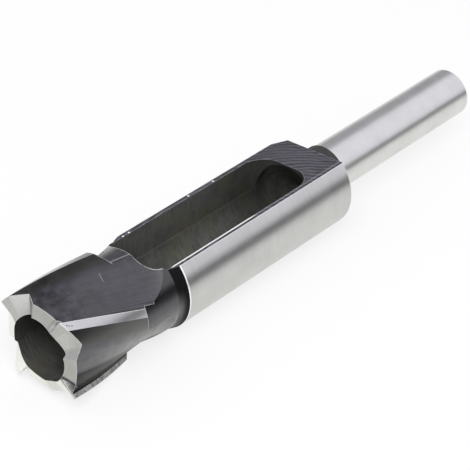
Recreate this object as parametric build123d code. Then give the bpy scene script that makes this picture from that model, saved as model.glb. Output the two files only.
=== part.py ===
from build123d import *
import math
import os

# A plug cutter: a hollow cutting head with four helical teeth, a windowed body and a plain shank.
# Sizes are in millimetres. The origin is the middle of the mouth, in the plane of the tooth tips.
# +X runs along the axis towards the shank, and +Z is up as the cutter lies on a bench.
# The shapes are made with the milled flat facing straight up, and turned to the lying pose at the end.

# Shank, body and neck, turned on one axis
shank_diameter = 12.7
overall_length = 148.2
shank_end_bevel = 0.5
body_diameter = 25.1
body_rear = 92.4
body_front = 34.95
body_rear_bevel = 0.25
root_collar_length = 4.3
root_collar_proud = 0.35
root_fillet = 0.9
neck_diameter = 23.5
shoulder_length = 2.7
head_rear_taper = 1.3

# Bore for the plug, from the mouth to the rear end of the window
plug_diameter = 16.0
bore_short_of_window = 0.4
drill_point_angle = 118.0

# Milled flat and the window through it
flat_height = 7.745
flat_front = 32.3
window_front = 27.5
window_rear = 83.0
window_width = 17.4
window_corner_radius = 6.0
window_floor_height = 0.0

# Corner of the flat that is bevelled off at the far rear end
corner_bevel_along = 4.2
corner_bevel_across = 1.95
corner_bevel_slope = 45.0

# Cutting head: four teeth on a right-hand helix, cutting anticlockwise seen from the mouth
tooth_count = 4
tip_diameter = 27.0
land_length = 21.0
first_tooth_angle = 52.7
helix_lead = 240.0
land_angle = 9.0
land_relief = 0.15
heel_angle = 25.0
heel_radius = 12.0
rake_foot_radius = 11.85
rake_foot_lead = 1.0
rake_foot_fillet = 0.9
flute_floor_crown = 0.7
flute_wheel_radius = 20.0
flute_wheel_start = 25.0

# Ground end face: each line is inner radius, inner angle, inner depth, outer radius, outer angle, outer depth.
# Angles are counted backwards from the cutting edge, depths from the plane of the tips.
relief_line = (8.1, 12.0, 0.25, 13.35, 10.3, 0.87)
valley_line = (8.2, 38.0, 0.9, 12.0, 29.7, 3.15)
gullet_line = (8.0, 45.0, 0.15, 11.5, 46.0, 1.3)
gash_line = (8.1, 82.0, 0.1, 11.7, 84.0, 1.2)
groove_line = (8.1, 87.0, 0.09, 11.8, 89.0, 2.0)

# Clearance ground into the bore wall behind each cutting edge
bore_relief_start = 4.0
bore_relief_peak = 40.0
bore_relief_end = 45.0
bore_relief_depth = 0.3
bore_relief_length = 3.0

# Room that a cutting shape takes past the metal it removes
overrun = 2.0

# Sizes that follow from the ones above
shank_radius = shank_diameter / 2
body_radius = body_diameter / 2
neck_radius = neck_diameter / 2
plug_radius = plug_diameter / 2
tip_radius = tip_diameter / 2
collar_radius = shank_radius + root_collar_proud
tooth_pitch = 360.0 / tooth_count
twist_per_length = 360.0 / helix_lead
bore_rear = window_rear - bore_short_of_window
cut_radius = tip_radius + overrun
land_end_radius = tip_radius - land_relief
foot_angle = tooth_pitch - rake_foot_lead


def around(radius, angle, along):
    """The point at a radius and at an angle from +Z towards +Y, so far from the mouth."""
    turn = math.radians(angle)
    return Vector(along, radius * math.sin(turn), radius * math.cos(turn))


def behind_edge(radius, behind, along, tooth=0):
    """The point at an angle behind a tooth's cutting edge, in the plane of the tips."""
    return around(radius, first_tooth_angle - tooth * tooth_pitch - behind, along)


def on_helix(radius, behind, along, tooth=0):
    """The same, with the tooth followed along its helix."""
    return behind_edge(radius, behind + twist_per_length * along, along, tooth)


def turned_blank():
    """The turned bar: head, neck, shoulder, body, root collar and shank."""
    head_rear = land_length + head_rear_taper
    shoulder_front = body_front - shoulder_length
    outline = [
        (-overrun, 0),
        (-overrun, tip_radius),
        (land_length, tip_radius),
        (head_rear, neck_radius),
        (shoulder_front, neck_radius),
        (body_front, body_radius),
        (body_rear - body_rear_bevel, body_radius),
        (body_rear, body_radius - body_rear_bevel),
        (body_rear, collar_radius),
        (body_rear + root_collar_length, collar_radius),
        (body_rear + root_collar_length + root_collar_proud, shank_radius),
        (overall_length - shank_end_bevel, shank_radius),
        (overall_length, shank_radius - shank_end_bevel),
        (overall_length, 0),
    ]
    half_section = make_face(Polyline([(x, 0, r) for x, r in outline], close=True))
    blank = revolve(half_section, axis=Axis.X)
    root_edge = blank.edges().filter_by(GeomType.CIRCLE).filter_by(
        lambda edge: abs(edge.center().X - body_rear) < 0.01 and abs(edge.radius - collar_radius) < 0.01
    )
    return fillet(root_edge, root_fillet)


def plug_bore():
    """The blind hole that the plug grows into, with the cone left by the drill's point."""
    front = -2 * overrun
    point = plug_radius / math.tan(math.radians(drill_point_angle / 2))
    outline = [(front, 0), (front, plug_radius), (bore_rear, plug_radius), (bore_rear + point, 0)]
    half_section = make_face(Polyline([(x, 0, r) for x, r in outline], close=True))
    return revolve(half_section, axis=Axis.X)


def milled_flat():
    """The metal above the flat, from the shoulder to past the body's rear face."""
    length = body_rear + overrun - flat_front
    block = Box(length, 2 * cut_radius, cut_radius, align=(Align.MIN, Align.CENTER, Align.MIN))
    return Pos(flat_front, 0, flat_height) * block


def ejection_window():
    """The round-cornered slot milled down into the bore, where plugs are pushed out."""
    outline = RectangleRounded(window_rear - window_front, window_width, window_corner_radius)
    slot = extrude(outline, amount=cut_radius)
    return Pos((window_front + window_rear) / 2, 0, window_floor_height) * slot


def bevelled_corner():
    """The wedge taken off the flat's far rear corner."""
    edge_y = math.sqrt(body_radius**2 - flat_height**2)
    front = Vector(body_rear - corner_bevel_along, edge_y, flat_height)
    rear = Vector(body_rear, edge_y - corner_bevel_across, flat_height)
    middle = (front + rear) / 2
    along = (rear - front).normalized()
    outward = Vector(0, 0, 1).cross(along).normalized()
    slope = math.radians(corner_bevel_slope)
    normal = outward * math.cos(slope) + Vector(0, 0, 1) * math.sin(slope)
    cut_plane = Plane(origin=middle, x_dir=along, z_dir=normal)
    size = 4 * corner_bevel_along
    return cut_plane * Box(size, size, size, align=(Align.CENTER, Align.CENTER, Align.MIN))


def flute_floor(tooth, along):
    """The ends of the flute's floor, at the heel's ridge and at the foot of the next tooth's rake face."""
    heel = on_helix(heel_radius, heel_angle, along, tooth)
    foot = on_helix(rake_foot_radius, foot_angle, along, tooth)
    return heel, foot


def flute_section(tooth, along):
    """The outline removed between a land's heel and the next tooth's rake face."""
    lead_in = 0.3
    heel, foot = flute_floor(tooth, along)
    land_start = on_helix(tip_radius + lead_in * land_relief / land_angle, -lead_in, along, tooth)
    land_end = on_helix(land_end_radius, land_angle, along, tooth)
    next_edge = on_helix(tip_radius, tooth_pitch, along, tooth)
    past_next_edge = on_helix(cut_radius, tooth_pitch, along, tooth)
    past_middle = on_helix(1.2 * cut_radius, tooth_pitch / 2, along, tooth)
    past_start = on_helix(cut_radius, -lead_in, along, tooth)
    middle = (heel + foot) / 2
    outward = (middle - Vector(along, 0, 0)).normalized()
    floor = ThreePointArc(heel, middle + outward * flute_floor_crown, foot)
    outside = Polyline(foot, next_edge, past_next_edge, past_middle, past_start, land_start, land_end, heel)
    outline = make_face([floor] + outside.edges())
    corner = outline.vertices().sort_by_distance(foot)[0]
    return fillet(corner, rake_foot_fillet)


def helical_flute(tooth):
    """One flute swept along the helix, from in front of the tips to the neck."""
    start = -overrun
    length = flute_wheel_start - start
    section = flute_section(tooth, start).face()
    return Solid.extrude_linear_with_rotation(
        section, (start, 0, 0), (length, 0, 0), twist_per_length * length
    )


def flute_run_out(tooth):
    """The end of one flute, where the round milling wheel left the neck."""
    heel, foot = flute_floor(tooth, flute_wheel_start)
    middle = (heel + foot) / 2
    on_axis = Vector(flute_wheel_start, 0, 0)
    across = (foot - heel).normalized()
    outward = Vector(1, 0, 0).cross(across)
    if outward.dot(middle - on_axis) < 0:
        outward = outward * -1
    helix_slope = math.radians(twist_per_length) * (middle - on_axis).length
    wheel_axis = (across - Vector(1, 0, 0) * helix_slope).normalized()
    half_width = (foot - heel).length / 2
    rim = ThreePointArc((-half_width, 0), (0, flute_floor_crown), (half_width, 0))
    side = Polyline((half_width, 0), (half_width, flute_wheel_radius), (-half_width, flute_wheel_radius), (-half_width, 0))
    half_wheel = make_face([rim] + side.edges())
    wheel = revolve(half_wheel, axis=Axis((0, flute_wheel_radius, 0), (1, 0, 0)))
    wheel_plane = Plane(origin=middle, x_dir=wheel_axis, z_dir=wheel_axis.cross(outward))
    size = 4 * flute_wheel_radius
    past_start = Box(size, size, size, align=(Align.MIN, Align.CENTER, Align.CENTER))
    return (wheel_plane * wheel) & (Pos(flute_wheel_start, 0, 0) * past_start)


def facet_wall(line, tooth):
    """The upright wall below one line of the ground end face, carried past the metal at both ends."""
    inner_radius, inner_behind, inner_depth, outer_radius, outer_behind, outer_depth = line
    inner = behind_edge(inner_radius, inner_behind, inner_depth, tooth)
    outer = behind_edge(outer_radius, outer_behind, outer_depth, tooth)
    direction = (outer - inner).normalized()
    inner_end = inner - direction * 0.3
    outer_end = outer + direction * 2 * overrun
    front = -2 * overrun
    corners = [inner_end, outer_end, Vector(front, outer_end.Y, outer_end.Z), Vector(front, inner_end.Y, inner_end.Z)]
    return Wire.make_polygon(corners, close=True)


def end_face_cutters(tooth):
    """The ground facets between one cutting edge and the next."""
    cutting_edge = (plug_radius, 0.0, 0.0, tip_radius, 0.0, 0.0)
    next_edge = (plug_radius, tooth_pitch, 0.0, tip_radius, tooth_pitch, 0.0)
    lines = [cutting_edge, relief_line, valley_line, gullet_line, gash_line, groove_line, next_edge]
    walls = [facet_wall(line, tooth) for line in lines]
    return [Solid.make_loft([first, second], ruled=True) for first, second in zip(walls, walls[1:])]


def bore_relief(tooth):
    """The clearance in the bore wall behind one cutting edge, ending in a small step."""
    peak_radius = plug_radius + bore_relief_depth
    middle = (bore_relief_start + bore_relief_peak) / 2
    start = behind_edge(plug_radius, bore_relief_start, -overrun, tooth)
    rise = behind_edge(plug_radius + bore_relief_depth / 2, middle, -overrun, tooth)
    peak = behind_edge(peak_radius, bore_relief_peak, -overrun, tooth)
    step = behind_edge(plug_radius - 0.1, bore_relief_end, -overrun, tooth)
    inside = behind_edge(plug_radius / 2, middle, -overrun, tooth)
    outline = [ThreePointArc(start, rise, peak), Line(peak, step), Line(step, inside), Line(inside, start)]
    face = make_face(outline)
    return extrude(face, amount=bore_relief_length + overrun, dir=(1, 0, 0))


def lying_turn():
    """How far the cutter is turned about its axis when it lies on its body and one land's rear end."""
    lowest_land = tooth_count // 2
    land_end = first_tooth_angle - lowest_land * tooth_pitch - twist_per_length * land_length - land_angle
    return math.degrees(math.acos(min(1.0, body_radius / land_end_radius))) - (land_end + 180)


def plug_cutter():
    """The whole cutter, one solid."""
    body = turned_blank()
    body -= plug_bore()
    body -= milled_flat()
    body -= ejection_window()
    body -= bevelled_corner()
    for tooth in range(tooth_count):
        body -= helical_flute(tooth)
        body -= flute_run_out(tooth)
    for tooth in range(tooth_count):
        for facet in end_face_cutters(tooth):
            body -= facet
        body -= bore_relief(tooth)
    return Rot(-lying_turn(), 0, 0) * body


os.makedirs("parts", exist_ok=True)
cutter = plug_cutter()
export_step(cutter.solid(), "parts/plug_cutter.step")
print("turn", round(lying_turn(), 3))
print("volume", round(cutter.volume, 1), "solids", len(cutter.solids()))
print("bounds", cutter.bounding_box())
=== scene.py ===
import math
from types import SimpleNamespace
import bmesh
import bpy
from mathutils import Matrix, Vector


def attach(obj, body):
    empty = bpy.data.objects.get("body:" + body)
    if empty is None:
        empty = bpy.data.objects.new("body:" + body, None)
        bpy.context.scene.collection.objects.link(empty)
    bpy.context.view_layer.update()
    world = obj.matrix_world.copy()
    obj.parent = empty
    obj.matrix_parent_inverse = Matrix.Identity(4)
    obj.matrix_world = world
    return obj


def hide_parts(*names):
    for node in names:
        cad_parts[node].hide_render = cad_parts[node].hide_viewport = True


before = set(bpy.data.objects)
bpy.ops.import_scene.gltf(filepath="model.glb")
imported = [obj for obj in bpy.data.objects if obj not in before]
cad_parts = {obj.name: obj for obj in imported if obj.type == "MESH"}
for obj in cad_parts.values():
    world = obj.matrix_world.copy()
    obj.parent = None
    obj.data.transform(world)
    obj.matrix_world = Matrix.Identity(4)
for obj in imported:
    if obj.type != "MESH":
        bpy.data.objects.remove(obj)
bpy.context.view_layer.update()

# The turned bar
# A plug cutter is one piece of tool steel, turned on centres: the head, a blackened neck and shoulder,
# the ground body, a collar at its root and the ground shank that a chuck holds.
# It lies on its body and the rear end of one land, so all of it is turned a little about its axis.
mm = 0.001
lying_turn = 7.736
shank_radius = 6.35
overall_length = 148.2
shank_end_round = ((0.5, 0.0), (0.15, 0.3), (0.0, 0.6))  # each so far before the end and inside the radius
body_radius = 12.55
body_rear = 92.4
body_front = 34.95
body_front_rim = 0.12
body_rear_bevel = 0.25
collar_radius = 6.7
collar_length = 4.3
root_fillet = 0.9
root_fillet_steps = 6
neck_radius = 11.75
shoulder_length = 2.7
tip_radius = 13.5
land_length = 21.0
head_rear_taper = 1.3
overrun = 2.0
cut_radius = tip_radius + overrun
oxide_black = (0.002, 0.002, 0.002, 1)
# White of worn metal, also used for highlights painted on edges.
wear_and_highlight_white = (0.94, 0.94, 0.95, 1)
# A bright line painted along the run-out's border behind the first tooth: worn metal and its painted
# highlight.
bright_border = ((22.4, -4.8), (27.3, -9.2))  # along and degrees, at both ends


def lying(x, y, z):
    """A place given with the flat facing up, turned to how the cutter lies, in metres."""
    turn = math.radians(lying_turn)
    return Vector((x, y * math.cos(turn) + z * math.sin(turn), z * math.cos(turn) - y * math.sin(turn))) * mm


def around(radius, angle, along):
    """The place at a radius and at an angle from the flat's facing, so far from the mouth."""
    turn = math.radians(angle)
    return lying(along, radius * math.sin(turn), radius * math.cos(turn))


def put(tree, kind, *sockets, **settings):
    """One shader node with its sockets filled in order, by a value or by another node's output."""
    made = tree.nodes.new("ShaderNode" + kind)
    for setting, value in settings.items():
        setattr(made, setting, value)
    for socket, value in zip(made.inputs, sockets):
        if isinstance(value, bpy.types.NodeSocket):
            tree.links.new(value, socket)
        elif value is not None:
            socket.default_value = value
    return made


def worked(tree, operation, first, second=0.0):
    """The outcome of one sum on two numbers in a shader."""
    return put(tree, "Math", first, second, operation=operation).outputs[0]


def plus(tree, first, second):
    """Two numbers in a shader added up."""
    return worked(tree, "ADD", first, second)


def times(tree, first, second):
    """Two numbers in a shader multiplied."""
    return worked(tree, "MULTIPLY", first, second)


def larger(tree, first, second):
    """The larger of two numbers in a shader."""
    return worked(tree, "MAXIMUM", first, second)


def ramp(tree, value, low, high, low_to=0.0, high_to=1.0):
    """A number in a shader carried smoothly from one range to another."""
    made = put(tree, "MapRange", value, low, high, low_to, high_to, interpolation_type="SMOOTHSTEP")
    return made.outputs[0]


def distance_from(tree, value, middle):
    """How far a number in a shader is from a fixed one."""
    return worked(tree, "ABSOLUTE", plus(tree, value, -middle))


def blend_colour(tree, share, first, second):
    """Two colours in a shader mixed by a share."""
    mix = tree.nodes.new("ShaderNodeMix")
    mix.data_type = "RGBA"
    for socket, value in ((mix.inputs[0], share), (mix.inputs[6], first), (mix.inputs[7], second)):
        if isinstance(value, bpy.types.NodeSocket):
            tree.links.new(value, socket)
        else:
            socket.default_value = value
    return mix.outputs[2]


def steel_places(tree):
    """The place on the steel in millimetres with the flat up, and its parts."""
    place = put(tree, "TexCoord").outputs["Object"]
    upright = put(tree, "VectorRotate", place, rotation_type="X_AXIS")
    upright.inputs["Angle"].default_value = math.radians(lying_turn)
    grown = put(tree, "VectorMath", upright.outputs[0], operation="SCALE")
    grown.inputs["Scale"].default_value = 1 / mm
    along, across, up = put(tree, "SeparateXYZ", grown.outputs[0]).outputs
    section_place = put(tree, "CombineXYZ", 0.0, across, up).outputs[0]
    return SimpleNamespace(
        place=grown.outputs[0], along=along, across=across, up=up,
        radius=put(tree, "VectorMath", section_place, operation="LENGTH").outputs["Value"],
        angle=worked(tree, "ARCTAN2", across, up),
    )


def stretched(tree, *parts):
    """A place put together from numbers that are each stretched by a factor."""
    return put(tree, "CombineXYZ", *[times(tree, value, factor) for value, factor in parts]).outputs[0]


def grain(tree, place, size, detail=3.0, rough=0.55):
    """Noise whose lumps are about so many millimetres."""
    made = put(tree, "TexNoise", place)
    made.inputs["Scale"].default_value = 1 / size
    made.inputs["Detail"].default_value = detail
    made.inputs["Roughness"].default_value = rough
    return made.outputs[0]


def edge_closeness(tree, width, low, high):
    """How near a sharp edge is, from how far a rounded edge's slope leaves the true one, and that slope."""
    rounded = put(tree, "Bevel", samples=6)
    rounded.inputs["Radius"].default_value = width * mm
    true_slope = put(tree, "NewGeometry").outputs["Normal"]
    likeness = put(tree, "VectorMath", rounded.outputs[0], true_slope, operation="DOT_PRODUCT")
    near = ramp(tree, likeness.outputs["Value"], high, low)
    softened = tree.nodes.new("ShaderNodeMix")
    softened.data_type = "VECTOR"
    tree.links.new(near, softened.inputs[0])
    tree.links.new(true_slope, softened.inputs[4])
    tree.links.new(rounded.outputs[0], softened.inputs[5])
    return near, softened.outputs[1]


def spots(tree, at, places, size):
    """Small round marks at places in millimetres with the flat up, soft at their rims."""
    marks = None
    for spot in places:
        away = put(tree, "VectorMath", at.place, spot, operation="DISTANCE").outputs["Value"]
        mark = ramp(tree, away, size * 0.5, size * 1.1, 1.0, 0.0)
        marks = larger(tree, marks, mark) if marks else mark
    return marks


def scratched(tree, at, level, start, end, width):
    """A fine straight scratch at a radius, level, between two places given as (along, degrees)."""
    rolled = stretched(tree, (at.along, 1.0), (at.angle, level))
    first = Vector((start[0], math.radians(start[1]) * level, 0.0))
    run = Vector((end[0], math.radians(end[1]) * level, 0.0)) - first
    from_first = put(tree, "VectorMath", rolled, tuple(first), operation="SUBTRACT").outputs[0]
    direction = tuple(run.normalized())
    reach = put(tree, "VectorMath", from_first, direction, operation="DOT_PRODUCT").outputs["Value"]
    reach = put(tree, "Clamp", reach, 0.0, run.length).outputs[0]
    nearest = put(tree, "VectorMath", direction, operation="SCALE")
    tree.links.new(reach, nearest.inputs["Scale"])
    away = put(tree, "VectorMath", from_first, nearest.outputs[0], operation="DISTANCE").outputs["Value"]
    return ramp(tree, away, width * 0.3, width, 1.0, 0.0)


def scaled_colour(tree, colour, factor):
    """A colour made lighter or darker by a factor."""
    made = put(tree, "VectorMath", colour, operation="SCALE")
    tree.links.new(factor, made.inputs["Scale"])
    return made.outputs[0]


def new_finish(name):
    """A finish with nothing in it yet, and its node tree."""
    finish = bpy.data.materials.new(name)
    finish.use_nodes = True
    finish.node_tree.nodes.clear()
    return finish, finish.node_tree


def steel_shader(tree, colour, metal, roughness, slope, marks, marks_strength, marks_depth):
    """The steel's shader: colour, metal and roughness from nodes, and the fine tool marks as bump."""
    shader = put(tree, "BsdfPrincipled")
    bump = put(tree, "Bump")
    bump.inputs["Strength"].default_value = marks_strength
    bump.inputs["Distance"].default_value = marks_depth * mm
    for source, node, socket in (
        (marks, bump, "Height"), (slope, bump, "Normal"), (bump.outputs[0], shader, "Normal"),
        (colour, shader, "Base Color"), (metal, shader, "Metallic"), (roughness, shader, "Roughness"),
    ):
        tree.links.new(source, node.inputs[socket])
    put(tree, "OutputMaterial", shader.outputs[0])
    return shader


def ground_steel(name, brightness, roughness, tint=(1.0, 1.0, 1.0), painted_light=None, pits_of=None, edge_level=1.0,
                 edge_from=0.93, edge_to=0.992, rim_at=None):
    """Bright steel ground on a cylindrical grinder: fine rings round it, faint clouds, and a white highlight
    painted along its edges.
    """
    rings_per_mm, ring_breaks = 6.0, 1.5
    cloud_size, stain_size, levels = 7.0, 0.5, (0.93, 1.06)
    edge_width, edge_metal, edge_white = 0.25, 0.3, (0.95, 0.95, 0.96, 1)
    rim_level, rim_inner, rim_outer = 0.9, 0.2, 0.32
    pit_black = (0.01, 0.01, 0.01, 1)
    roughness_spread, marks_strength, marks_depth = 0.03, 0.05, 0.002
    finish, tree = new_finish(name)
    at = steel_places(tree)
    ring_place = stretched(tree, (at.along, rings_per_mm), (at.angle, ring_breaks), (at.radius, 1.0))
    rings = grain(tree, ring_place, 1.0, 4.0)
    clouds = grain(tree, at.place, cloud_size)
    stains = grain(tree, at.place, stain_size, 2.0)
    dark, light = [tuple(brightness * level * part for part in tint) + (1,) for level in levels]
    share = ramp(tree, plus(tree, times(tree, rings, 0.4), times(tree, clouds, 0.6)), 0.3, 0.7)
    colour = blend_colour(tree, share, dark, light)
    # Painted light and shade: the colour made lighter or darker by place.
    if painted_light:
        colour = scaled_colour(tree, colour, painted_light(tree, at))
    # A white highlight painted along the edges.
    edge, slope = edge_closeness(tree, edge_width, edge_from, edge_to)
    edge = times(tree, edge, edge_level)
    # A white highlight line painted along one rim.
    if rim_at:
        off_rim = distance_from(tree, at.along, rim_at)
        edge = larger(tree, edge, ramp(tree, off_rim, rim_inner, rim_outer, rim_level, 0.0))
    colour = blend_colour(tree, edge, colour, edge_white)
    metal = ramp(tree, edge, 0.0, 1.0, 1.0, edge_metal)
    if pits_of:
        pits = pits_of(tree, at)
        colour = blend_colour(tree, pits, colour, pit_black)
        metal = times(tree, metal, worked(tree, "SUBTRACT", 1.0, pits))
    dulled = ramp(tree, stains, 0.2, 0.8, roughness - roughness_spread, roughness + roughness_spread)
    steel_shader(tree, colour, metal, dulled, slope, rings, marks_strength, marks_depth)
    return finish


def blackened_steel(name, dark, light, roughness, streaks, streak_bump, painted_light=None, bright_lines=None,
                    specks_of=None, edge_width=0.28, edge_level=1.0, ior=1.7, lightened_blue=1.0):
    """Steel with a black-oxide skin, streaked by the cutter, its edges worn bright and painted with a white
    highlight.

    Where the painted light is well over one, the colour is painted lighter and its blue is scaled by a given
    share.
    """
    cloud_size, patch_size, speck_size, edge_break_size = 3.0, 6.0, 0.35, 1.6
    patch_share, speck_level = 0.5, 0.12
    black_edge_from, black_edge_to, wear_and_highlight_metal = 0.88, 0.985, 0.15
    lightened_from, lightened_to = 1.2, 2.5
    glossier, duller, marks_depth = 0.06, 0.08, 0.03
    finish, tree = new_finish(name)
    at = steel_places(tree)
    lines = streaks(tree, at)
    clouds = grain(tree, at.place, cloud_size, 4.0)
    patches = ramp(tree, grain(tree, at.place, patch_size, 2.0), 0.52, 0.68)
    specks = ramp(tree, grain(tree, at.place, speck_size, 1.0), 0.74, 0.8)
    share = ramp(tree, plus(tree, times(tree, lines, 0.6), times(tree, clouds, 0.4)), 0.35, 0.65)
    skin = blend_colour(tree, share, dark, light)
    olive = (dark[0] * 1.3, dark[1] * 1.3, dark[2] * 0.8, 1)
    skin = blend_colour(tree, times(tree, patches, patch_share), skin, olive)
    factor = None
    # Painted light and shade: the skin's colour made lighter or darker by place.
    if painted_light:
        factor = painted_light(tree, at)
        skin = scaled_colour(tree, skin, factor)
        warmed = put(tree, "VectorMath", skin, (1.0, 1.0, lightened_blue), operation="MULTIPLY").outputs[0]
        skin = blend_colour(tree, ramp(tree, factor, lightened_from, lightened_to), skin, warmed)
    # Edges whitened: worn metal, with a painted highlight.
    edge, slope = edge_closeness(tree, edge_width, black_edge_from, black_edge_to)
    edge_grain = ramp(tree, grain(tree, at.place, edge_break_size), 0.25, 0.45)
    wear_and_highlight = times(tree, times(tree, edge, edge_grain), edge_level)
    wear_and_highlight = larger(tree, wear_and_highlight, times(tree, specks, speck_level * edge_level))
    if bright_lines:
        wear_and_highlight = bright_lines(tree, wear_and_highlight, at)
    if specks_of:
        bright, pits = specks_of(tree, at)
        wear_and_highlight = larger(tree, wear_and_highlight, bright)
        skin = blend_colour(tree, pits, skin, oxide_black)
    colour = blend_colour(tree, wear_and_highlight, skin, wear_and_highlight_white)
    dulled = ramp(tree, lines, 0.2, 0.8, roughness - glossier, roughness + duller)
    metal = times(tree, wear_and_highlight, wear_and_highlight_metal)
    shader = steel_shader(tree, colour, metal, dulled, slope, lines, streak_bump, marks_depth)
    shader.inputs["IOR"].default_value = ior
    # The painted shade also dims the reflection, through the specular tint.
    if factor:
        gloss = blend_colour(tree, ramp(tree, factor, 0.0, 1.0), (0, 0, 0, 1), (1, 1, 1, 1))
        tree.links.new(gloss, shader.inputs["Specular Tint"])
    return finish


def turned_streaks(tree, at):
    """Rings left by the turning tool."""
    return grain(tree, stretched(tree, (at.along, 3.0), (at.angle, 2.0), (at.radius, 1.0)), 1.0, 4.0)


def neck_painted_light(tree, at):
    """Painted light on the neck: a painted highlight beside the first tooth, a dark band painted along the
    near side's top as a reflection, and lighter below, as a painted reflection of the floor.
    """
    band_angle, lightening_rate = -70.0, 0.02496
    degrees = times(tree, at.angle, 180 / math.pi)
    # A painted highlight beside the first tooth.
    beside = ramp(tree, degrees, 4.0, 28.0, 0.0, 15.0)
    beside = times(tree, beside, ramp(tree, degrees, 45.0, 75.0, 1.0, 0.0))
    # A dark band painted along the near side's top, as a reflection.
    band = ramp(tree, degrees, -71.0, -58.0, 0.28, 1.0)
    # Painted lighter below, as a reflection of the floor.
    below = larger(tree, worked(tree, "SUBTRACT", band_angle, degrees), 0.0)
    lightened_below = worked(tree, "POWER", times(tree, below, lightening_rate), 2.0)
    lightened_below = times(tree, lightened_below, ramp(tree, degrees, -155.0, -118.0, 1.0, 5.6))
    return plus(tree, plus(tree, band, lightened_below), beside)


def neck_only(tree, wear_and_highlight, at):
    """No worn or highlighted edge in the inner corner where the neck meets the shoulder."""
    return times(tree, wear_and_highlight, ramp(tree, at.along, 31.0, 31.6, 1.0, 0.0))


def shoulder_painted_light(tree, at):
    """Painted light on the shoulder: blackest on top, painted lighter low down by the neck as a reflection of
    the floor, and grey at the shank's root.
    """
    # Painted lighter low down by the neck, as a reflection of the floor.
    low = ramp(tree, times(tree, at.angle, 180 / math.pi), -74.0, -105.0)
    front = ramp(tree, at.along, 32.3, 34.6, 18.0, 0.8)
    root = ramp(tree, at.along, 80.0, 90.0, 0.0, 7.0)
    return plus(tree, plus(tree, times(tree, low, front), 1.0), root)


def neck_marks(tree, at):
    """A bright line painted along the run-out's border behind the first tooth, worn metal and its painted
    highlight, and a dark pit on the neck's near side.
    """
    border = scratched(tree, at, neck_radius, *bright_border, 0.17)
    return times(tree, border, 0.28), spots(tree, at, [(25.85, -11.08, 3.9)], 0.6)


bright_shank = ground_steel("ground_shank", 0.7, 0.33)
# The body's front rim gets a painted white highlight line.
bright_body = ground_steel(
    "ground_body", 0.575, 0.31, edge_from=0.989, edge_to=0.997, rim_at=body_front + body_front_rim
)
black_neck = blackened_steel(
    "blackened_neck", (0.018, 0.018, 0.023, 1), (0.03, 0.03, 0.038, 1), 0.34, turned_streaks, 0.04,
    painted_light=neck_painted_light, bright_lines=neck_only, specks_of=neck_marks, lightened_blue=0.8
)
black_shoulder = blackened_steel(
    "blackened_shoulder", (0.005, 0.005, 0.005, 1), (0.009, 0.009, 0.009, 1), 0.5, turned_streaks, 0.1,
    edge_level=0.0, ior=1.13, painted_light=shoulder_painted_light
)


def mesh_piece(name, corners, faces, finishes, face_finish):
    """A mesh from its corners and faces, with a finish on each face."""
    same_place = 1e-7
    shape = bpy.data.meshes.new(name)
    shape.from_pydata([tuple(corner) for corner in corners], [], faces)
    for finish in finishes:
        shape.materials.append(finish)
    shape.polygons.foreach_set("material_index", face_finish)
    joined = bmesh.new()
    joined.from_mesh(shape)
    bmesh.ops.remove_doubles(joined, verts=joined.verts, dist=same_place)
    bmesh.ops.recalc_face_normals(joined, faces=joined.faces)
    joined.to_mesh(shape)
    joined.free()
    piece = bpy.data.objects.new(name, shape)
    bpy.context.scene.collection.objects.link(piece)
    return piece


def turned(name, outline, finishes, outline_finish, steps=240):
    """A shape turned on the axis from its outline of (along, radius), closed on the axis at both ends."""
    corners = []
    faces = []
    face_finish = []
    for along, radius in outline:
        for step in range(steps):
            corners.append(around(radius, 360 * step / steps, along))
    for ring in range(len(outline) - 1):
        for step in range(steps):
            after = (step + 1) % steps
            start = ring * steps
            faces.append((start + step, start + after, start + steps + after, start + steps + step))
            face_finish.append(outline_finish[ring])
    last = (len(outline) - 1) * steps
    faces.append(tuple(range(steps)))
    faces.append(tuple(range(last, last + steps)))
    face_finish += [outline_finish[0], outline_finish[-1]]
    return mesh_piece(name, corners, faces, finishes, face_finish)


fillet_arc = []
for step in range(root_fillet_steps + 1):
    turn = math.radians(90 * step / root_fillet_steps)
    fillet_arc.append((
        body_rear + root_fillet - root_fillet * math.cos(turn),
        collar_radius + root_fillet - root_fillet * math.sin(turn),
    ))
bar_outline = [
    (-overrun, tip_radius),
    (land_length, tip_radius),
    (land_length + head_rear_taper, neck_radius),
    (body_front - shoulder_length, neck_radius),
    (body_front, body_radius),
    (body_rear - body_rear_bevel, body_radius),
    (body_rear, body_radius - body_rear_bevel),
] + fillet_arc + [
    (body_rear + collar_length, collar_radius),
    (body_rear + collar_length + collar_radius - shank_radius, shank_radius),
] + [(overall_length - before, shank_radius - inside) for before, inside in shank_end_round]
bar_finishes = [bright_body, bright_shank, black_neck, black_shoulder]
bar_finish_of = [0, 2, 2, 3, 0, 0, 3] + [3] * len(fillet_arc) + [3, 1, 1, 1]
cutter_steel = turned("plug_cutter_steel", bar_outline, bar_finishes, bar_finish_of)


def cut_away(body, tool):
    """Takes a cutting shape's metal off the body, which gets that shape's finish where it was cut."""
    cut = body.modifiers.new("cut", "BOOLEAN")
    cut.operation = "DIFFERENCE"
    cut.solver = "EXACT"
    cut.object = tool
    cut.material_mode = "TRANSFER"
    whole = bpy.data.meshes.new_from_object(body.evaluated_get(bpy.context.evaluated_depsgraph_get()))
    body.modifiers.remove(cut)
    before = body.data
    body.data = whole
    bpy.data.meshes.remove(before)
    bpy.data.objects.remove(tool)


# The bore
# The plug of wood stands in this blind hole. It is drilled up the middle of the bar, ends in the cone of the
# drill's point and is blackened like the neck.
plug_radius = 8.0
bore_rear = 82.6
drill_point_angle = 118.0
drill_tip_radius = 0.02
drill_tip_short = 0.01


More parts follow.
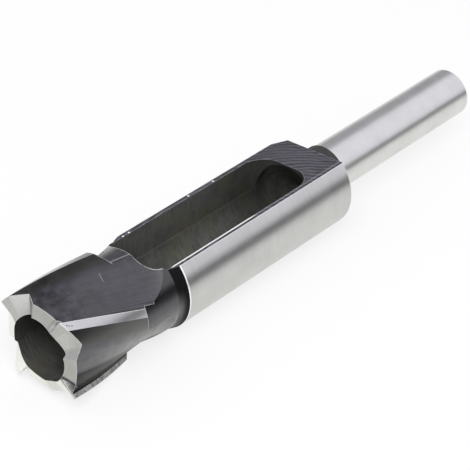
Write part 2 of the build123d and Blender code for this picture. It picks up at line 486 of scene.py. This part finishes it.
def bore_painted_light(tree, at):
    """Painted light in the bore: lighter low down by the mouth and under the window, where light comes in,
    and painted shade darkest at its blind end.
    """
    under_window = ramp(tree, at.along, 22.0, 50.0, 1.0, 3.0)
    low = times(tree, ramp(tree, at.up, -7.0, 0.0, 1.0, 0.0), ramp(tree, at.along, 12.0, 24.0, 1.0, 0.0))
    return times(tree, plus(tree, under_window, low), ramp(tree, at.along, 58.0, 84.0, 1.0, 0.3))


black_bore = blackened_steel(
    "blackened_bore", (0.022, 0.022, 0.02, 1), (0.042, 0.042, 0.039, 1), 0.6, turned_streaks, 0.1,
    edge_level=0.0, ior=1.35, painted_light=bore_painted_light
)
point_length = plug_radius / math.tan(math.radians(drill_point_angle / 2))
bore_outline = [
    (-2 * overrun, plug_radius), (bore_rear, plug_radius),
    (bore_rear + point_length - drill_tip_short, drill_tip_radius),
]
cut_away(cutter_steel, turned("bore_tool", bore_outline, [black_bore], [0, 0]))

# The milled flat and the window
# A flat is milled along the body and a round-ended slot through it into the bore, to push plugs out.
# Both are blackened. One far corner of the flat is bevelled off at its rear end.
flat_height = 7.745
flat_front = 32.3
window_front = 27.5
window_rear = 83.0
window_width = 17.4
window_corner_radius = 6.0
window_corner_steps = 24
corner_bevel_along = 4.2
corner_bevel_across = 1.95
corner_tool_reach = 8
face_mill_middle = (52.0, -30.0)
# Where the bright line painted along the slot's near edge runs: burnished metal and its painted highlight.
bright_line_across = -8.88


def face_mill_streaks(tree, at):
    """Wide arcs left by a face mill, a little uneven."""
    unevenness, arcs_per_mm, arc_breaks, waves_per_mm, wave_level = 2.2, 1.7, 5.0, 4.6, 0.26
    off_x = plus(tree, at.along, -face_mill_middle[0])
    off_y = plus(tree, at.across, -face_mill_middle[1])
    off = put(tree, "CombineXYZ", off_x, off_y, 0.0).outputs[0]
    wobble = times(tree, grain(tree, at.place, 5.0, 2.0), unevenness)
    ring = plus(tree, put(tree, "VectorMath", off, operation="LENGTH").outputs["Value"], wobble)
    streaked = stretched(tree, (ring, arcs_per_mm), (worked(tree, "ARCTAN2", off_y, off_x), arc_breaks))
    waves = worked(tree, "SINE", times(tree, ring, waves_per_mm))
    return plus(tree, grain(tree, streaked, 1.0), times(tree, waves, wave_level))


def side_mill_streaks(tree, at):
    """Faint upright marks of the slot's end mill."""
    return grain(tree, stretched(tree, (at.along, 1.5), (at.across, 1.5), (at.up, 0.25)), 1.0, 4.0)


def slot_painted_shade(tree, at):
    """Painted shade in the slot: a little darker on its narrow floor ledge, which faces up to the light, and
    darker towards its rear end.
    """
    ledge = ramp(tree, at.up, 0.0, 0.4, 0.74, 1.0)
    return times(tree, ledge, ramp(tree, at.along, 55.0, 80.0, 1.0, 0.5))


def far_strip_specks(tree, at):
    """Bright nicks and a dark pit on the flat's far strip."""
    nicks = ((37.8, 8.95), (35.8, 8.9), (58.0, 9.3), (66.5, 9.2))
    bright = spots(tree, at, [(along, across, flat_height) for along, across in nicks], 0.35)
    return bright, spots(tree, at, [(47.0, 9.6, flat_height)], 0.3)


def near_edge_line(tree, wear_and_highlight, at):
    """The bright line along the slot's near edge, bright over its front half: burnished metal and its painted
    highlight.
    """
    line = ramp(tree, distance_from(tree, at.across, bright_line_across), 0.16, 0.27, 1.0, 0.0)
    front = ramp(tree, at.along, 32.8, 34.5)
    back = ramp(tree, at.along, 59.0, 63.0, 1.0, 0.12)
    return larger(tree, wear_and_highlight, times(tree, line, times(tree, front, back)))


black_flat = blackened_steel(
    "blackened_flat", (0.01, 0.01, 0.013, 1), (0.085, 0.085, 0.11, 1), 0.36, face_mill_streaks, 0.4,
    edge_width=0.2, edge_level=0.55, bright_lines=near_edge_line, specks_of=far_strip_specks
)
black_window = blackened_steel(
    "blackened_window", (0.064, 0.064, 0.06, 1), (0.092, 0.092, 0.087, 1), 0.6, side_mill_streaks, 0.2,
    edge_level=0.0, ior=1.35, painted_light=slot_painted_shade
)


def prism(name, outline, floor, top, finish):
    """An upright prism over an outline of (along, across), between two heights."""
    count = len(outline)
    corners = [lying(x, y, floor) for x, y in outline] + [lying(x, y, top) for x, y in outline]
    faces = [tuple(range(count)), tuple(range(count, 2 * count))]
    for step in range(count):
        after = (step + 1) % count
        faces.append((step, after, count + after, count + step))
    return mesh_piece(name, corners, faces, [finish], [0] * len(faces))


flat_outline = [
    (flat_front, -cut_radius), (body_rear + overrun, -cut_radius),
    (body_rear + overrun, cut_radius), (flat_front, cut_radius),
]
cut_away(cutter_steel, prism("flat_tool", flat_outline, flat_height, flat_height + cut_radius, black_flat))

window_outline = []
for middle_x, middle_y, start in (
    (window_rear - window_corner_radius, window_width / 2 - window_corner_radius, 0),
    (window_front + window_corner_radius, window_width / 2 - window_corner_radius, 90),
    (window_front + window_corner_radius, window_corner_radius - window_width / 2, 180),
    (window_rear - window_corner_radius, window_corner_radius - window_width / 2, 270),
):
    for step in range(window_corner_steps + 1):
        turn = math.radians(start + 90 * step / window_corner_steps)
        window_outline.append((
            middle_x + window_corner_radius * math.cos(turn), middle_y + window_corner_radius * math.sin(turn)
        ))
cut_away(cutter_steel, prism("window_tool", window_outline, 0.0, cut_radius, black_window))

edge_y = math.sqrt(body_radius ** 2 - flat_height ** 2)
bevel_front = Vector((body_rear - corner_bevel_along, edge_y, flat_height))
bevel_rear = Vector((body_rear, edge_y - corner_bevel_across, flat_height))
bevel_run = (bevel_rear - bevel_front).normalized()
bevel_out = Vector((0, 0, 1)).cross(bevel_run).normalized()
bevel_up = (bevel_out + Vector((0, 0, 1))).normalized()
bevel_side = bevel_up.cross(bevel_run)
bevel_middle = (bevel_front + bevel_rear) / 2
bevel_corners = []
for lift in (0, 1):
    for run, side in ((-1, -1), (1, -1), (1, 1), (-1, 1)):
        off = bevel_run * run + bevel_side * side + bevel_up * lift
        bevel_corners.append(lying(*(bevel_middle + off * corner_tool_reach)))
bevel_faces = [(0, 1, 2, 3), (4, 5, 6, 7), (0, 1, 5, 4), (1, 2, 6, 5), (2, 3, 7, 6), (3, 0, 4, 7)]
cut_away(cutter_steel, mesh_piece("corner_tool", bevel_corners, bevel_faces, [black_flat], [0] * 6))

# The flutes
# Four flutes are milled along a right-hand helix between the lands. Each has a gently crowned floor, a steep
# heel behind its land and a radial rake wall in front of the next one, and runs out on the neck.
tooth_count = 4
tooth_pitch = 90.0
first_tooth_angle = 52.7
twist = 1.5
land_angle = 9.0
land_relief = 0.15
land_steps = 6
land_lead_in = 0.3
heel_angle = 25.0
heel_radius = 12.0
rake_foot_radius = 11.85
rake_foot_lead = 1.0
rake_foot_fillet = 0.9
rake_fillet_steps = 7
floor_crown = 0.7
floor_steps = 28
wheel_radius = 20.0
wheel_start = 25.0
flute_level = 10.85


def flute_streaks(tree, at):
    """Long fine marks that follow the flute."""
    turned_back = plus(tree, at.angle, times(tree, at.along, math.radians(twist)))
    streaked = stretched(tree, (turned_back, 30.0), (at.along, 0.12), (at.radius, 0.6))
    return grain(tree, streaked, 1.0, 5.0, 0.6)


def behind_first_edge(tree, at):
    """How many degrees behind the first cutting edge a place is, along the helix."""
    turned_back = plus(tree, times(tree, at.angle, 180 / math.pi), times(tree, at.along, twist))
    behind = worked(tree, "SUBTRACT", first_tooth_angle + 360, turned_back)
    return worked(tree, "FLOORED_MODULO", behind, 360.0)


def flute_painted_light(tree, at):
    """Painted light on a flute: painted shade by its heel and dark blotches by the mouth; the near one is
    painted lighter as a reflection of the floor, with a painted shade in its corner.
    """
    round_behind = behind_first_edge(tree, at)
    behind = worked(tree, "FLOORED_MODULO", round_behind, tooth_pitch)
    before_next = ramp(tree, round_behind, 184.0, 188.0, 1.0, 0.0)
    near_one = times(tree, ramp(tree, round_behind, 92.0, 96.0), before_next)
    # Painted shade by the heel.
    from_heel = ramp(tree, behind, 12.0, 44.0, 0.45, 1.0)
    blotches = ramp(tree, grain(tree, at.place, 3.2, 6.0, 0.6), 0.25, 0.75, -0.62, 0.1)
    blotches = times(tree, ramp(tree, at.along, 5.0, 19.0, 1.0, 0.0), blotches)
    usual = times(tree, from_heel, plus(tree, blotches, 1.0))
    # The near flute is painted lighter, as a reflection of the floor, with a painted shade in its inner
    # corner.
    dark_corner = ramp(tree, behind, 54.0, 67.0, 1.0, 0.0)
    near = times(tree, ramp(tree, behind, 10.0, 62.0, 0.7, 5.6), dark_corner)
    near = times(tree, near, ramp(tree, at.along, 2.0, 25.0, 0.5, 1.6))
    return plus(tree, usual, times(tree, near_one, worked(tree, "SUBTRACT", near, usual)))


def flute_marks(tree, at):
    """A scratch, a bright border line of worn metal and painted highlight, and bright specks on the upper
    flute, and dark pits by its front edge.
    """
    specks = spots(tree, at, [(12.2, 3.4, 10.3), (5.5, 0.1, 10.8), (8.0, 5.0, 9.8), (15.0, 2.0, 10.6)], 0.22)
    scratch = scratched(tree, at, flute_level, (18.1, -9.0), (17.4, -20.0), 0.12)
    border = scratched(tree, at, neck_radius, *bright_border, 0.2)
    marks = larger(tree, times(tree, scratch, 0.18), times(tree, border, 0.25))
    bright = larger(tree, times(tree, specks, 0.35), marks)
    return bright, spots(tree, at, [(3.8, -1.9, 10.6), (2.6, 1.2, 10.7)], 0.7)


def seamless(tree, wear_and_highlight, at):
    """No worn or highlighted edge where the straight of a flute passes into its run-out, which is one
    surface.
    """
    return times(tree, wear_and_highlight, ramp(tree, distance_from(tree, at.along, wheel_start), 0.5, 0.9))


black_flute = blackened_steel(
    "blackened_flute", (0.016, 0.016, 0.021, 1), (0.036, 0.036, 0.05, 1), 0.36, flute_streaks, 0.12,
    painted_light=flute_painted_light, bright_lines=seamless, specks_of=flute_marks, lightened_blue=0.78
)
black_heel = blackened_steel(
    "blackened_heel", (0.014, 0.014, 0.013, 1), (0.034, 0.034, 0.033, 1), 0.38, flute_streaks, 0.12,
    painted_light=flute_painted_light, lightened_blue=0.9
)


def rough_grain(tree, at):
    """The rake walls' coarse ground grain."""
    return grain(tree, at.place, 0.7, 4.0, 0.7)


def land_pits(tree, at):
    """Small dark pits at the front of the land that faces up."""
    return spots(tree, at, [(1.27, -9.12, 9.89), (1.68, -9.39, 9.63), (2.3, -9.58, 9.44)], 0.2)


grey_rake = blackened_steel(
    "ground_rake", (0.07, 0.07, 0.068, 1), (0.36, 0.36, 0.35, 1), 0.5, rough_grain, 0.3, edge_level=0.5
)
bright_land = ground_steel("ground_land", 0.6, 0.33, (1.0, 0.99, 1.02), pits_of=land_pits)


def flat_place(radius, angle):
    """A place in a flute's section, as (across, up)."""
    turn = math.radians(angle)
    return Vector((radius * math.sin(turn), radius * math.cos(turn)))


def arc_between(start, end, crown, steps):
    """Points along a shallow arc that stands so far outside its chord."""
    chord = (end - start).length
    bow_radius = (chord ** 2 / 4 + crown ** 2) / (2 * crown)
    outward = ((start + end) / 2).normalized()
    middle = (start + end) / 2 - outward * (bow_radius - crown)
    spread = math.asin(chord / 2 / bow_radius)
    sideways = (end - start).normalized()
    made = []
    for step in range(steps + 1):
        turn = spread * (2 * step / steps - 1)
        bowed = outward * (bow_radius * math.cos(turn))
        made.append(middle + sideways * (bow_radius * math.sin(turn)) + bowed)
    return made


def flute_section():
    """The outline that one flute removes at the mouth, and the finish of each side."""
    on_floor, on_heel, on_rake, on_land = 0, 1, 2, 3
    outer_share, fillet_room = 1.2, 1.02
    edge = first_tooth_angle
    heel = flat_place(heel_radius, edge - heel_angle)
    foot = flat_place(rake_foot_radius, edge - tooth_pitch + rake_foot_lead)
    next_edge = flat_place(tip_radius, edge - tooth_pitch)
    floor = arc_between(heel, foot, floor_crown, floor_steps)
    back = (floor[-2] - foot).normalized()
    wall = (next_edge - foot).normalized()
    opening = math.acos(back.dot(wall))
    reach = rake_foot_fillet / math.tan(opening / 2)
    fillet_middle = foot + (back + wall).normalized() * (rake_foot_fillet / math.sin(opening / 2))
    kept_floor = [point for point in floor if (point - foot).length > reach * fillet_room]
    first = foot + back * reach - fillet_middle
    last = foot + wall * reach - fillet_middle
    fillet = [
        fillet_middle + first.slerp(last, step / rake_fillet_steps) for step in range(rake_fillet_steps + 1)
    ]
    outline = kept_floor + fillet + [
        next_edge,
        flat_place(cut_radius, edge - tooth_pitch),
        flat_place(outer_share * cut_radius, edge - tooth_pitch / 2),
        flat_place(cut_radius, edge + land_lead_in),
        flat_place(tip_radius + land_lead_in * land_relief / land_angle, edge + land_lead_in),
    ]
    sides = [on_floor] * (len(kept_floor) + rake_fillet_steps) + [on_rake] + [on_floor] * 4
    for step in range(1, land_steps + 1):
        share = step / land_steps
        outline.append(flat_place(tip_radius - land_relief * share, edge - land_angle * share))
        sides.append(on_land)
    sides.append(on_heel)
    return outline, sides


def two_triangles(first, second, third, fourth):
    """Two triangles over four corners."""
    return [(first, second, third), (first, third, fourth)]


def helical_flute(tooth, steps=60):
    """One flute swept along the helix, from in front of the tips to the neck."""
    outline, sides = flute_section()
    count = len(outline)
    corners = []
    faces = []
    face_finish = []
    for step in range(steps + 1):
        along = -overrun + (wheel_start + overrun) * step / steps
        turn = -tooth * tooth_pitch - twist * along
        for point in outline:
            corners.append(around(point.length, math.degrees(math.atan2(point.x, point.y)) + turn, along))
    for step in range(steps):
        for side in range(count):
            after = (side + 1) % count
            start = step * count
            faces += two_triangles(start + side, start + after, start + count + after, start + count + side)
            face_finish += [sides[side]] * 2
    faces += [tuple(range(count)), tuple(range(steps * count, (steps + 1) * count))]
    face_finish += [0, 0]
    finishes = [black_flute, black_heel, grey_rake, bright_land]
    return mesh_piece("flute_tool", corners, faces, finishes, face_finish)


def run_out(tooth, steps=200, rim_steps=16):
    """Where the round milling wheel left the neck at the end of one flute."""
    on_plane = 1e-8
    turn = -tooth * tooth_pitch - twist * wheel_start
    heel = around(heel_radius, first_tooth_angle - heel_angle + turn, wheel_start)
    foot = around(rake_foot_radius, first_tooth_angle - tooth_pitch + rake_foot_lead + turn, wheel_start)
    middle = (heel + foot) / 2
    on_axis = Vector((wheel_start * mm, 0, 0))
    across = (foot - heel).normalized()
    outward = Vector((1, 0, 0)).cross(across)
    if outward.dot(middle - on_axis) < 0:
        outward = -outward
    helix_slope = math.radians(twist) * (middle - on_axis).length / mm
    axis = (across - Vector((1, 0, 0)) * helix_slope).normalized()
    run = axis.cross(outward)
    half = (foot - heel).length / 2 / mm
    bow_radius = (half ** 2 + floor_crown ** 2) / (2 * floor_crown)
    rim = []
    for step in range(rim_steps + 1):
        off = half * (2 * step / rim_steps - 1)
        rim.append((off, wheel_radius - floor_crown + bow_radius - math.sqrt(bow_radius ** 2 - off ** 2)))
    corners = []
    faces = []
    count = len(rim)
    for step in range(steps):
        angle = 2 * math.pi * step / steps
        for off, reach in rim:
            rise = outward * (wheel_radius - reach * math.cos(angle))
            corners.append(middle + (axis * off + rise + run * (reach * math.sin(angle))) * mm)
    for step in range(steps):
        after = (step + 1) % steps
        for side in range(count - 1):
            start, following = step * count + side, after * count + side
            faces += two_triangles(start, start + 1, following + 1, following)
    faces.append(tuple(step * count for step in range(steps)))
    faces.append(tuple(step * count + count - 1 for step in range(steps)))
    wheel = mesh_piece("run_out_tool", corners, faces, [black_flute], [0] * len(faces))
    trimmed = bmesh.new()
    trimmed.from_mesh(wheel.data)
    bmesh.ops.bisect_plane(
        trimmed, geom=trimmed.verts[:] + trimmed.edges[:] + trimmed.faces[:], dist=on_plane,
        plane_co=(wheel_start * mm, 0, 0), plane_no=(1, 0, 0), clear_inner=True,
    )
    bmesh.ops.holes_fill(trimmed, edges=[edge for edge in trimmed.edges if edge.is_boundary])
    bmesh.ops.recalc_face_normals(trimmed, faces=trimmed.faces)
    trimmed.to_mesh(wheel.data)
    trimmed.free()
    return wheel


for tooth in range(tooth_count):
    cut_away(cutter_steel, helical_flute(tooth))
    cut_away(cutter_steel, run_out(tooth))

# The ground end face
# Between each cutting edge and the next the mouth is ground in facets: a narrow relief behind the edge,
# a slope down to a valley, a step up to the gullet, and a small gash in front of the next edge.
# Behind each edge the bore's wall is ground back a little too, so that the plug clears it.
facet_lines = (  # inner radius, inner angle, inner depth, outer radius, outer angle, outer depth
    (8.0, 0.0, 0.0, 13.5, 0.0, 0.0),
    (8.1, 12.0, 0.25, 13.35, 10.3, 0.87),
    (8.2, 38.0, 0.9, 12.0, 29.7, 3.15),
    (8.0, 45.0, 0.15, 11.5, 46.0, 1.3),
    (8.1, 82.0, 0.1, 11.7, 84.0, 1.2),
    (8.1, 87.0, 0.09, 11.8, 89.0, 2.0),
    (8.0, tooth_pitch, 0.0, 13.5, tooth_pitch, 0.0),
)
facet_steps = 16
facet_inner_reach = 0.3
facet_outer_reach = 4
bore_relief_start = 4.0
bore_relief_peak = 40.0
bore_relief_end = 45.0
bore_relief_depth = 0.3
bore_relief_length = 3.0
bore_relief_steps = 16
bore_relief_inside = 0.1


def facet_painted_light(tree, at):
    """Painted light on the end face: the slope by the valley painted duller, the grooves before the edges
    painted dark as shade, and the lowest facets painted brightest, as reflections.
    """
    degrees = times(tree, at.angle, 180 / math.pi)
    behind = worked(tree, "SUBTRACT", first_tooth_angle + 360, degrees)
    behind = worked(tree, "FLOORED_MODULO", behind, tooth_pitch)
    valley = plus(tree, ramp(tree, behind, 30.0, 34.0, 1.0, 0.82), ramp(tree, behind, 44.0, 48.0, 0.0, 0.14))
    # The lowest facets painted brightest, as reflections.
    lowest = larger(tree, ramp(tree, degrees, -136.0, -128.0, 1.0, 0.0), ramp(tree, degrees, 54.0, 62.0))
    # Painted shade on the grooves before the edges.
    groove = times(tree, ramp(tree, behind, 78.0, 83.0), worked(tree, "SUBTRACT", 1.0, lowest))
    groove = times(tree, groove, ramp(tree, degrees, -120.0, -60.0, 0.94, 0.3))
    lit = times(tree, valley, plus(tree, lowest, 1.0))
    return times(tree, lit, worked(tree, "SUBTRACT", 1.0, groove))


bright_face = ground_steel("ground_end_face", 0.46, 0.38, (1.0, 1.0, 0.965), facet_painted_light, edge_level=0.4)
face_walls = []
for tooth in range(tooth_count):
    start = first_tooth_angle - tooth * tooth_pitch
    facet_ends = []
    for inner_radius, inner_angle, inner_depth, outer_radius, outer_angle, outer_depth in facet_lines:
        inner = around(inner_radius, start - inner_angle, inner_depth)
        outer = around(outer_radius, start - outer_angle, outer_depth)
        direction = (outer - inner).normalized()
        inner = inner - direction * facet_inner_reach * mm
        facet_ends.append((inner, outer + direction * facet_outer_reach * mm))
    for (inner, outer), (next_inner, next_outer) in zip(facet_ends, facet_ends[1:]):
        for step in range(facet_steps):
            share = step / facet_steps
            face_walls.append((inner.lerp(next_inner, share), outer.lerp(next_outer, share)))
face_corners = []
for inner, outer in face_walls:
    front = -2 * overrun * mm
    face_corners += [inner, outer, Vector((front, outer.y, outer.z)), Vector((front, inner.y, inner.z))]
face_faces = []
for wall in range(len(face_walls)):
    after = (wall + 1) % len(face_walls)
    for side in range(4):
        beside = (side + 1) % 4
        face_faces += two_triangles(wall * 4 + side, wall * 4 + beside, after * 4 + beside, after * 4 + side)
face_tool = mesh_piece("face_tool", face_corners, face_faces, [bright_face], [0] * len(face_faces))
cut_away(cutter_steel, face_tool)

relief_corners = []
relief_faces = []
for tooth in range(tooth_count):
    start = first_tooth_angle - tooth * tooth_pitch
    outline = []
    for step in range(bore_relief_steps + 1):
        share = step / bore_relief_steps
        angle = bore_relief_start + (bore_relief_peak - bore_relief_start) * share
        outline.append((plug_radius + bore_relief_depth * share, angle))
    outline.append((plug_radius - bore_relief_inside, bore_relief_end))
    outline.append((plug_radius / 2, (bore_relief_start + bore_relief_peak) / 2))
    base = len(relief_corners)
    count = len(outline)
    for along in (-overrun, bore_relief_length):
        for radius, angle in outline:
            relief_corners.append(around(radius, start - angle, along))
    relief_faces.append(tuple(base + step for step in range(count)))
    relief_faces.append(tuple(base + count + step for step in range(count)))
    for step in range(count):
        after = (step + 1) % count
        relief_faces.append((base + step, base + after, base + count + after, base + count + step))
relief_tool = mesh_piece("relief_tool", relief_corners, relief_faces, [black_bore], [0] * len(relief_faces))
cut_away(cutter_steel, relief_tool)

# The whole steel
# The finished cutter is one piece. Its faces meet in sharp edges where one tool's cut met another's,
# and are smooth elsewhere.
sharp_from = math.radians(14)
weld_within = 2e-6
sliver_below = 1e-6
smooth = bmesh.new()
smooth.from_mesh(cutter_steel.data)
bmesh.ops.remove_doubles(smooth, verts=smooth.verts, dist=weld_within)
bmesh.ops.dissolve_degenerate(smooth, edges=smooth.edges, dist=sliver_below)
for face in smooth.faces:
    face.smooth = True
for edge in smooth.edges:
    if len(edge.link_faces) == 2 and edge.calc_face_angle() > sharp_from:
        edge.smooth = False
smooth.to_mesh(cutter_steel.data)
smooth.free()
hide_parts("plug_cutter")
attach(cutter_steel, "root")

# The stage
# A pale floor in a white room, one big soft light over the right shoulder, and a dark and a grey card that
# only the bright steel shows, as its bands.
floor_height = -0.01256
floor_half = 3.0
floor_glow = 0.76
room_light = 0.75


def sees_background(tree):
    """One for a ray from the camera, from a reflection or through glass."""
    path = put(tree, "LightPath")
    seen = larger(tree, path.outputs["Is Camera Ray"], path.outputs["Is Glossy Ray"])
    return larger(tree, seen, path.outputs["Is Transmission Ray"])


def white_to_camera(tree, otherwise):
    """White where the camera looks straight at it, and another tint elsewhere."""
    return blend_colour(tree, put(tree, "LightPath").outputs["Is Camera Ray"], otherwise, (1, 1, 1, 1))


pale_floor, floor_tree = new_finish("pale_floor")
paper = put(floor_tree, "BsdfDiffuse", (0.86, 0.86, 0.86, 1))
glow = put(floor_tree, "Emission", white_to_camera(floor_tree, (1, 1, 0.955, 1)), 1.0)
floor_share = times(floor_tree, sees_background(floor_tree), floor_glow)
floor_mix = put(floor_tree, "MixShader", floor_share, paper.outputs[0], glow.outputs[0])
put(floor_tree, "OutputMaterial", floor_mix.outputs[0])
floor_corners = [
    Vector((x * floor_half, y * floor_half, floor_height)) for x, y in ((-1, -1), (1, -1), (1, 1), (-1, 1))
]
floor = mesh_piece("floor", floor_corners, [(0, 1, 2, 3)], [pale_floor], [0])

world = bpy.data.worlds.new("white_room")
bpy.context.scene.world = world
world.use_nodes = True
world_tree = world.node_tree
world_tree.nodes.clear()
room_level = ramp(world_tree, sees_background(world_tree), 0.0, 1.0, room_light, 1.0)
room = put(world_tree, "Background", white_to_camera(world_tree, (0.97, 0.96, 1, 1)), room_level)
put(world_tree, "OutputWorld", room.outputs[0])


def card_paper(name, colour):
    """Dull paper of one colour."""
    finish = bpy.data.materials.new(name)
    finish.use_nodes = True
    shader = finish.node_tree.nodes["Principled BSDF"]
    shader.inputs["Base Color"].default_value = colour
    shader.inputs["Roughness"].default_value = 0.9
    return finish


def card(name, middle, facing, width, height, finish):
    """A flat card that faces the cutter and that only reflections see."""
    out = Vector(facing).normalized()
    side = Vector((0, 0, 1)).cross(out).normalized()
    rise = out.cross(side)
    corners = []
    for along, up in ((-1, -1), (1, -1), (1, 1), (-1, 1)):
        corners.append(Vector(middle) + side * (along * width / 2) + rise * (up * height / 2))
    made = mesh_piece(name, corners, [(0, 1, 2, 3)], [finish], [0])
    made.visible_camera = False
    made.visible_shadow = False
    made.visible_diffuse = False


dark_card = card_paper("dark_card", (0.02, 0.02, 0.02, 1))
grey_card = card_paper("grey_card", (0.42, 0.42, 0.43, 1))
card("near_card", (0.5, -0.11, 0.006), (0.0, 1.0, 0.0), 1.8, 0.042, dark_card)
card("far_card", (0.7, 0.5, 0.45), (0.0, -1.0, 0.0), 2.4, 0.93, grey_card)

key = bpy.data.lights.new("soft_key", "AREA")
key.shape = "RECTANGLE"
key.size = 0.9
key.size_y = 0.6
key.energy = 9.0
key_lamp = bpy.data.objects.new("soft_key", key)
bpy.context.scene.collection.objects.link(key_lamp)
key_lamp.location = (-0.45, -0.45, 1.0)
key_lamp.rotation_mode = "QUATERNION"
key_aim = Vector((0.06, 0, 0))
key_lamp.rotation_quaternion = (key_aim - key_lamp.location).to_track_quat("-Z", "Y")

# The camera
# It looks down at the cutter from the left of its mouth with a long lens, so that the mouth is nearest
# and the shank runs away to the upper right.
view = bpy.data.cameras.new("view")
view.lens = 144.0
view.sensor_width = 36.0
view.clip_start = 0.01
view.clip_end = 20.0
camera = bpy.data.objects.new("view", view)
bpy.context.scene.collection.objects.link(camera)
camera_place = Vector((-0.2081, -0.228405, 0.273938))
camera_right = Vector((0.67307, -0.737689, 0.052859))
camera_up = Vector((0.42657, 0.445610, 0.787061))
camera_back = camera_right.cross(camera_up)
camera.matrix_world = Matrix((
    (camera_right.x, camera_up.x, camera_back.x, camera_place.x),
    (camera_right.y, camera_up.y, camera_back.y, camera_place.y),
    (camera_right.z, camera_up.z, camera_back.z, camera_place.z),
    (0, 0, 0, 1),
))
bpy.context.scene.camera = camera

bpy.context.scene.view_settings.view_transform = "Standard"
